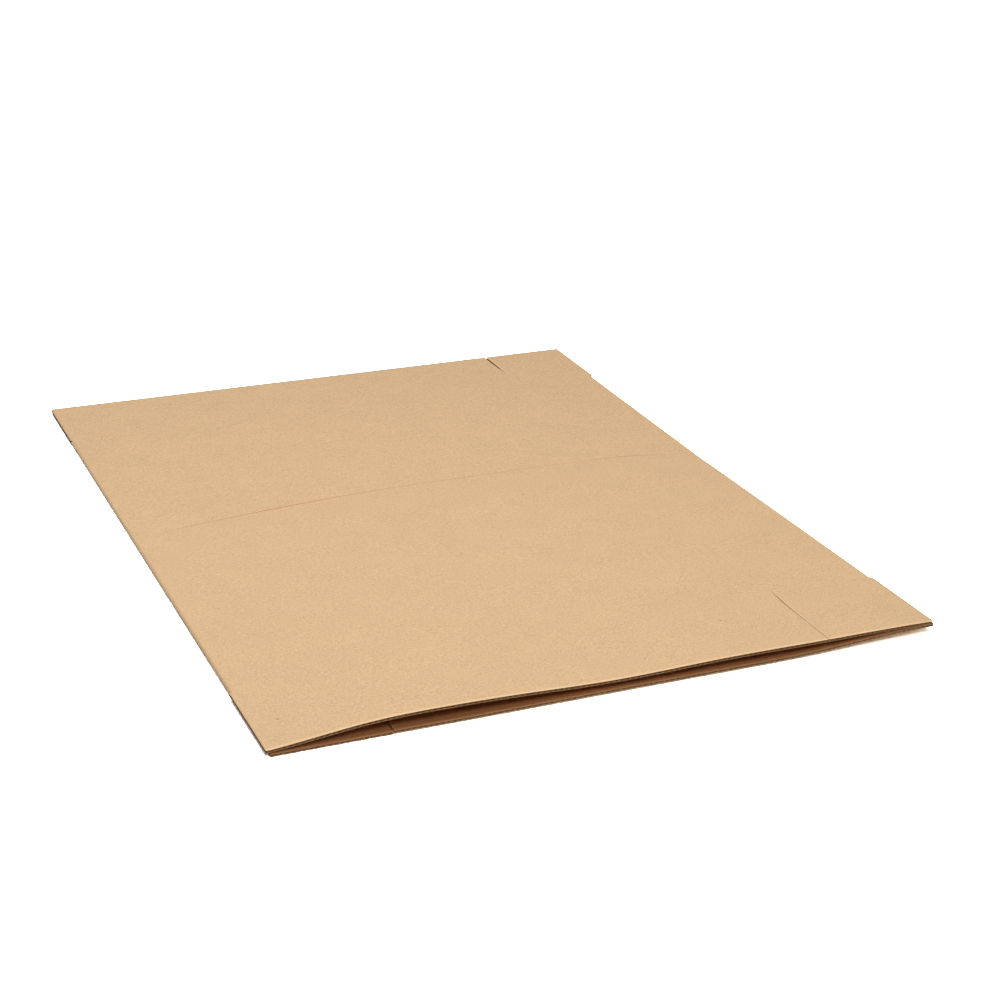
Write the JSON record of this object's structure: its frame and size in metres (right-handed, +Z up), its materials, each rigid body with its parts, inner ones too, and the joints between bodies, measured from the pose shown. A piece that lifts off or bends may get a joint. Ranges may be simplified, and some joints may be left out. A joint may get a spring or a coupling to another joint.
{
  "type": "flattened cardboard box",
  "caption": "Large single-wall corrugated carton, glued into a tube and folded flat, with long closing flaps at both open ends and a gaping front mouth.",
  "frame": {"origin": "on the ground, under the middle of the carton's box", "axes": "+Z up from the ground, +X along the gaping front edge towards its lifted corner, +Y from the front flaps to the back flaps"},
  "size_m": [0.955, 1.27, 0.0272],
  "materials": {
    "corrugated_board": "uncoated brown kraft liner, matt"
  },
  "bodies": {
    "root": {"folded_carton": "corrugated_board"}
  },
  "joints": []
}
